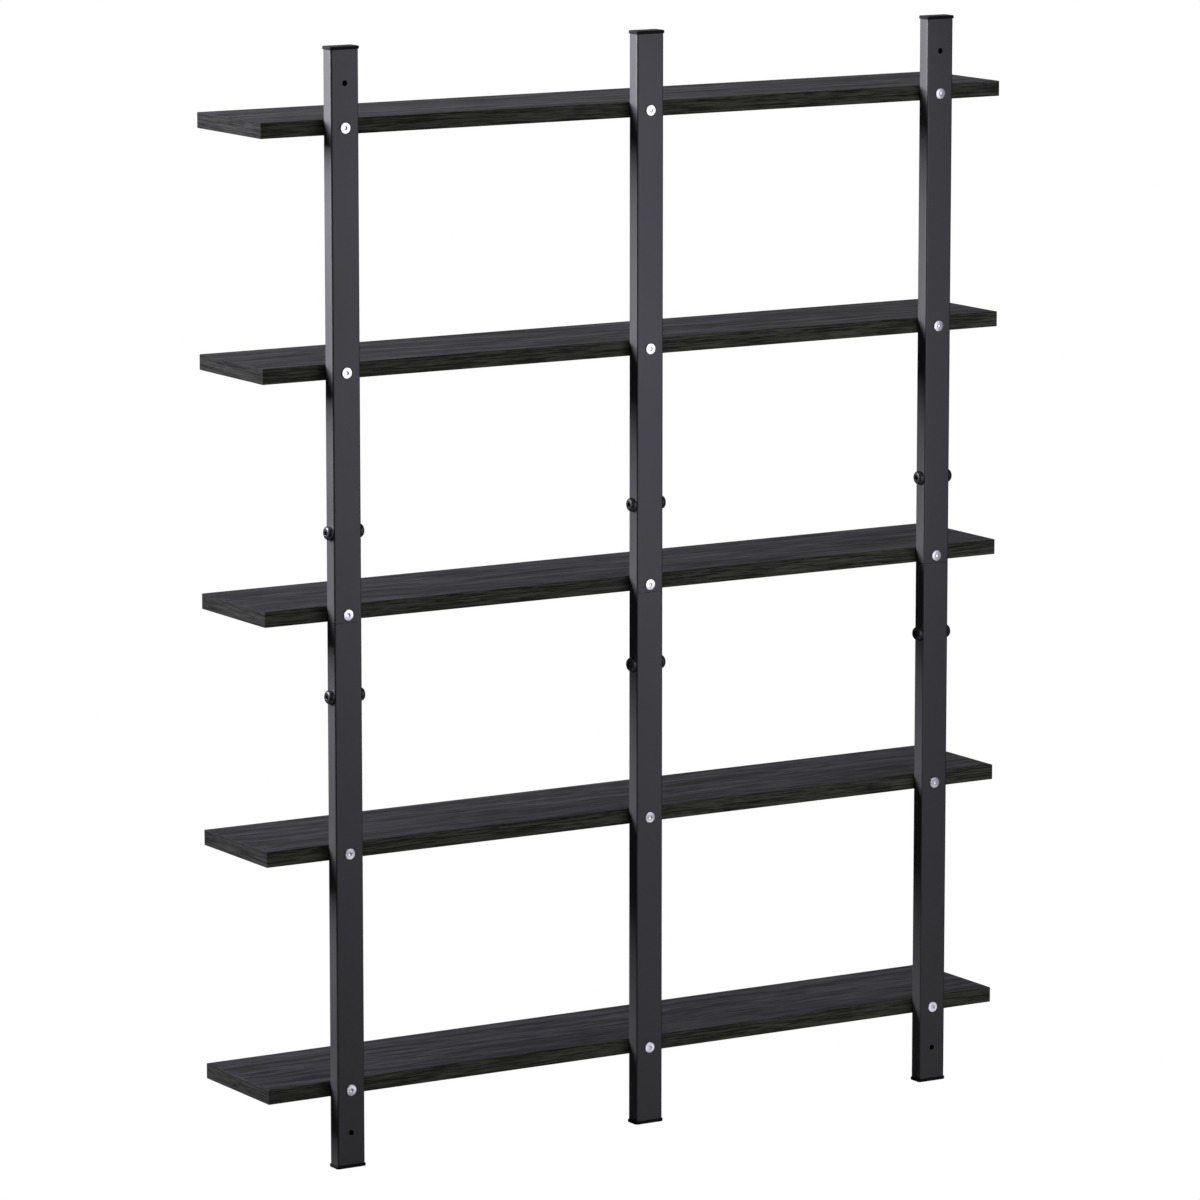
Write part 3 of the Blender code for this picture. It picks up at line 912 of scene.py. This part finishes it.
bolt_pattern = add_bolt_pattern()
for column, post in enumerate(POSTS):
    for level in PARTS:
        for side, sign in (("left_side", -1), ("right_side", 1)):
            node = f"joiner_bolt_{post}_{level}_{side}"
            name = f"button_bolt_{post}_{level}_{side}"
            to_side = pointing((sign, 0, 0)).to_matrix().to_4x4()
            twist = Matrix.Rotation((BOLTS_ON_A_POST * column + sign) * GOLDEN_TURN, 4, "Z")
            post_side = middle(f"upper_post_{post}").x + sign * POST_WIDTH / 2
            place = Vector((post_side, middle(node).y, middle(node).z))
            seat_copy(bolt_pattern, name, node, to_side @ twist, place, BLACK_OXIDE)
print("bolts:", len(bolt_pattern.data.polygons), "faces each")
bpy.data.objects.remove(bolt_pattern)

# %% [markdown]
# ## Joiners
#
# A smaller tube inside each post joins its two lengths. It only shows when the shelf is taken apart,
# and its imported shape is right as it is, so it keeps that shape and gets a drawn-steel finish with fine
# lines along its length.

# %% The joiners' finish
def drawn_steel():
    material, bench, place = new_finish("drawn_steel")
    lines = bench.cloud(place, (2400.0, 2400.0, 16.0), detail=2.0)
    stain = bench.cloud(place, (40.0, 40.0, 14.0), detail=3.0)
    complete(bench, {
        "Base Color": bench.tint(stain, (0.38, 0.38, 0.39, 1.0), (0.52, 0.52, 0.53, 1.0)),
        "Roughness": 0.32 + 0.16 * lines,
        "Metallic": 1.0,
        "Normal": bench.bump(lines, 0.02 * MM, 0.3),
    })
    return material


DRAWN_STEEL = drawn_steel()
for post in POSTS:
    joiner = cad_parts[f"post_joiner_{post}"]
    joiner.data.materials.clear()
    joiner.data.materials.append(DRAWN_STEEL)
    print(joiner.name, "dressed in", DRAWN_STEEL.name)

# %% [markdown]
# ## Floor
#
# The shelf hangs on a wall, so the floor lies well below it and catches only a faint shadow. A floor
# that stops somewhere would show its border, so for the camera its matt grey fades to white towards the
# rim. From below it is clear and hides nothing.

# %% A pale floor below the shelf
FLOOR_SIDE = 2.4
FLOOR_DROP = 1.4
FLOOR_FADE = (0.5, 1.15)
FLOOR_GREY = (0.5, 0.5, 0.5, 1.0)


def add_floor():
    bpy.ops.object.select_all(action="DESELECT")
    bpy.ops.mesh.primitive_plane_add(size=FLOOR_SIDE, location=(0.0, 0.0, CAD_LOW.z - FLOOR_DROP))
    floor = bpy.context.active_object
    floor.name = "floor"
    material = bpy.data.materials.new("pale_floor")
    material.use_nodes = True
    bench = Bench(material.node_tree)
    seen = bench.node("ShaderNodeLightPath", out="Is Camera Ray")
    place = bench.node("ShaderNodeTexCoord", out="Object")
    reach = bench.node("ShaderNodeVectorMath", {"operation": "LENGTH"}, {0: place}, out="Value")
    matt = bench.node("ShaderNodeBsdfDiffuse", None, {"Color": FLOOR_GREY})
    white = bench.node("ShaderNodeEmission", None, {"Strength": 1.0})
    fade = seen * bench.between(reach, *FLOOR_FADE)
    lit = bench.node("ShaderNodeMixShader", None, {0: fade, 1: matt, 2: white})
    below = bench.node("ShaderNodeNewGeometry", out="Backfacing")
    clear = bench.node("ShaderNodeBsdfTransparent")
    both = bench.node("ShaderNodeMixShader", None, {0: below, 1: lit, 2: clear})
    bench.node("ShaderNodeOutputMaterial", None, {"Surface": both})
    floor.data.materials.append(material)
    return floor


print("floor at", round(add_floor().location.z, 3), "m")

# %% [markdown]
# ## World
#
# The shelf hangs in a white studio. The world is white to the camera, and also to mirrored rays that
# leave the way the camera looks. It is dim in all other directions, because a room that is white all
# round would turn the black steel grey. A white wall behind the shelf could do the same, but it would
# hide the shelf from behind.

# %% The world
WHITE = (1.0, 1.0, 1.0, 1.0)
AMBIENT = 0.20
STUDIO_GLOSS = 0.01
BACKDROP_WAY = Vector((0.50, 0.85, -0.17)).normalized()
BACKDROP_RIM = (0.72, 0.98)


def add_world():
    world = bpy.data.worlds.new("white_studio")
    world.use_nodes = True
    bench = Bench(world.node_tree)
    camera = bench.node("ShaderNodeLightPath", out="Is Camera Ray")
    glossy = bench.node("ShaderNodeLightPath", out="Is Glossy Ray")
    through = bench.node("ShaderNodeLightPath", out="Is Transmission Ray")
    way = bench.node("ShaderNodeTexCoord", out="Generated")
    both = {0: way, 1: BACKDROP_WAY}
    ahead = bench.node("ShaderNodeVectorMath", {"operation": "DOT_PRODUCT"}, both, out="Value")
    mirrored = STUDIO_GLOSS + (1.0 - STUDIO_GLOSS) * bench.between(ahead, *BACKDROP_RIM)
    strength = AMBIENT + (1.0 - AMBIENT) * (camera + through) + (mirrored - AMBIENT) * glossy
    sky = bench.node("ShaderNodeBackground", None, {"Color": WHITE, "Strength": strength})
    bench.node("ShaderNodeOutputWorld", None, {"Surface": sky})
    bpy.context.scene.world = world
    return world


print("world:", add_world().name)

# %% [markdown]
# ## Light
#
# Five softboxes light the shelf. The key stands high on the left, a little behind: it makes the narrow
# sides of the posts bright and lets every board throw a shadow on them. A lavender one close in front
# is mirrored in the wall faces and in most screw heads, and a weak one under it in the lower heads. One
# high up fills the board tops, and one low on the room side keeps the hidden faces readable. A sun lamp
# would be simpler, but its hard shadows lack the soft edge that a large lamp gives.

# %% Five softboxes
LAMPS_AIM = Vector((0.0, 0.06, 0.0))
COOL = (1.0, 0.98, 1.07)
LAVENDER = (1.0, 0.97, 1.14)


def add_softbox(name, place, width, height, radiance, colour):
    """A rectangular area light that is as bright as a surface of that radiance."""
    lamp = bpy.data.lights.new(name, "AREA")
    lamp.shape = "RECTANGLE"
    lamp.size = width
    lamp.size_y = height
    lamp.energy = radiance * math.pi * width * height
    lamp.color = colour
    box = bpy.data.objects.new(name, lamp)
    box.location = place
    box.rotation_euler = (LAMPS_AIM - Vector(place)).to_track_quat("-Z", "Y").to_euler()
    bpy.context.scene.collection.objects.link(box)
    print(f"{name}: {lamp.energy:.2f} W")


add_softbox("key_softbox", (-2.35, 1.29, 1.50), 1.08, 1.81, 60.0, COOL)
add_softbox("front_softbox", (0.45, -1.05, 0.205), 0.82, 1.02, 2.15, LAVENDER)
add_softbox("low_softbox", (0.66, -1.10, -0.74), 1.08, 0.32, 1.08, COOL)
add_softbox("top_softbox", (-0.19, 0.57, 2.09), 1.66, 1.91, 1.95, COOL)
add_softbox("room_softbox", (1.5, 2.4, -0.80), 1.6, 0.5, 6.0, COOL)

# %% [markdown]
# ## Camera
#
# The shelf is seen from the wall side, a third of a right angle to the left and a little from above.
# The lens is long, so the boards run almost parallel. A camera that looks down makes upright lines lean
# slightly. A shifted lens would hold them upright, but it would push the shelf out of every other view.

# %% The camera
CAMERA_PLACE = Vector((-3.3358, -5.3794, 1.0612))
CAMERA_YAW = math.radians(31.366)
CAMERA_PITCH = math.radians(9.652)
CAMERA_LENS = 199.24


def add_camera():
    camera = bpy.data.objects.new("camera", bpy.data.cameras.new("camera"))
    camera.data.lens = CAMERA_LENS
    camera.location = CAMERA_PLACE
    camera.rotation_euler = (math.pi / 2 - CAMERA_PITCH, 0.0, -CAMERA_YAW)
    bpy.context.scene.collection.objects.link(camera)
    bpy.context.scene.camera = camera
    return camera


print("camera lens:", add_camera().data.lens, "mm")
bpy.context.scene.view_settings.view_transform = "Standard"
